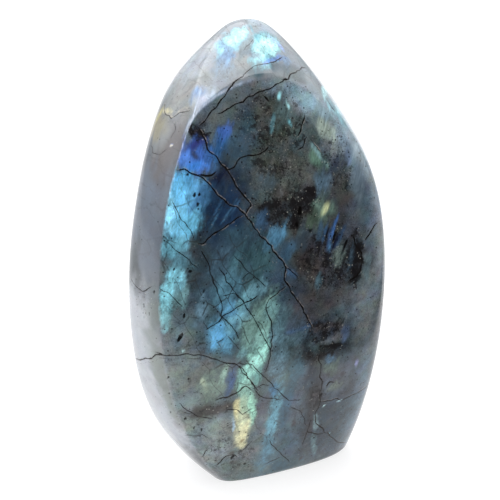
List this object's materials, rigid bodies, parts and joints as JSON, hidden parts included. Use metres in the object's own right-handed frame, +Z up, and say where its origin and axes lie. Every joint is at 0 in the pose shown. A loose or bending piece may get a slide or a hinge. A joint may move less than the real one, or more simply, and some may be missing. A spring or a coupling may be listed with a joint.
{
  "type": "polished labradorite freeform",
  "caption": "Standing freeform of polished grey-blue labradorite with a broad crowned front face, a narrow left face, a bevelled peak and a flat sawn foot.",
  "frame": {"origin": "on the ground, under the middle of the box that holds the stone", "axes": "+Z up; the broad polished face looks towards -Y; +X is to the right of someone facing it"},
  "size_m": [0.0875, 0.0687, 0.1501],
  "materials": {
    "polished_labradorite": "polished"
  },
  "bodies": {
    "root": {"stone": "polished_labradorite"}
  },
  "joints": []
}
